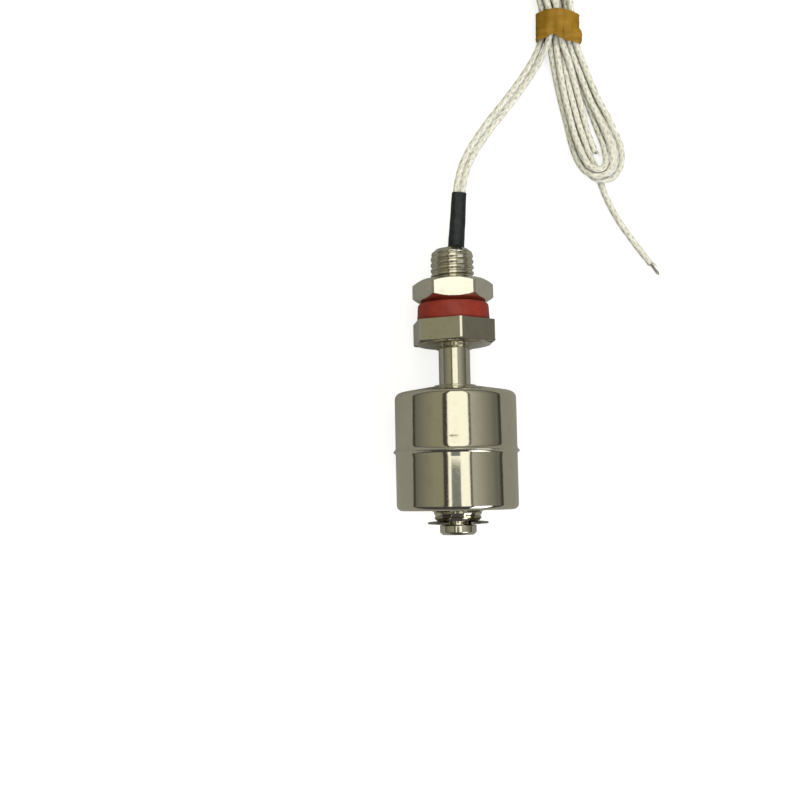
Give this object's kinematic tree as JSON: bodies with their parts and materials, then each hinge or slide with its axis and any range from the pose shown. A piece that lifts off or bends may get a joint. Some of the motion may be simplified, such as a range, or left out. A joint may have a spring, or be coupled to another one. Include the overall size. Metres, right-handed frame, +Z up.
{
  "type": "float level switch",
  "caption": "Vertical float level switch: threaded stud with hexagon, lock nut and red seal, a stem with a sliding steel float, a retaining clip and braided leads tied in a hank.",
  "frame": {"origin": "on the surface that the switch lies on, under the middle of its box without the free wires", "axes": "+Z up; +Y from the stem's end towards the wires' end, along the switch as seen from above; the switch's own axis dips 11.9 degrees below +Y towards the wires; +X to the right of it"},
  "size_m": [0.0621, 0.1449, 0.0314],
  "materials": {
    "stainless_satin": "turned stainless steel, satin with fine tool lines",
    "stainless_polished": "drawn and polished stainless steel",
    "nickel_nut": "bright machined steel",
    "spring_steel": "bright spring steel",
    "red_seal": "matte red silicone rubber",
    "ferrite": "matte dark ferrite",
    "spacer_plastic": "matte white plastic",
    "capsule_glass": "clear drawn glass",
    "reed_metal": "plated nickel iron",
    "solder": "dull solder",
    "braided_wire": "off-white braided glass fibre over thin conductors",
    "black_sleeve": "satin black shrink tubing",
    "black_potting": "black casting resin",
    "ochre_tape": "satin ochre film tape",
    "bare_copper": "dark tinned copper strands"
  },
  "bodies": {
    "body": {"threaded_fitting": "stainless_satin", "stem_tube": "stainless_satin", "stem_end_plug": "stainless_satin", "retaining_clip": "spring_steel", "seal_washer": "red_seal", "insulating_tube": "spacer_plastic", "reed_glass": "capsule_glass", "lower_reed": "reed_metal", "upper_reed": "reed_metal", "lower_joint": "solder", "upper_joint": "solder", "inner_lead_a": "braided_wire", "inner_lead_b": "braided_wire", "potting": "black_potting", "shrink_sleeve": "black_sleeve", "lead_wire_a": "braided_wire", "lead_wire_b": "braided_wire", "wire_hank": "braided_wire", "hank_tie": "ochre_tape", "wire_tail": "braided_wire", "bare_conductor": "bare_copper"},
    "float": {"float_inner_tube": "stainless_polished", "float_lower_shell": "stainless_polished", "float_upper_shell": "stainless_polished", "ring_magnet": "ferrite", "magnet_lower_spacer": "spacer_plastic", "magnet_upper_spacer": "spacer_plastic"},
    "nut": {"lock_nut": "nickel_nut"}
  },
  "joints": [
    {"name": "float_slide", "type": "slide", "parent": "body", "child": "float", "axis": [0, 0.9784, -0.2067], "range_m": [0, 0.008]},
    {"name": "nut_travel", "type": "slide", "parent": "body", "child": "nut", "axis": [0, 0.9784, -0.2067], "range_m": [0, 0.006]}
  ]
}
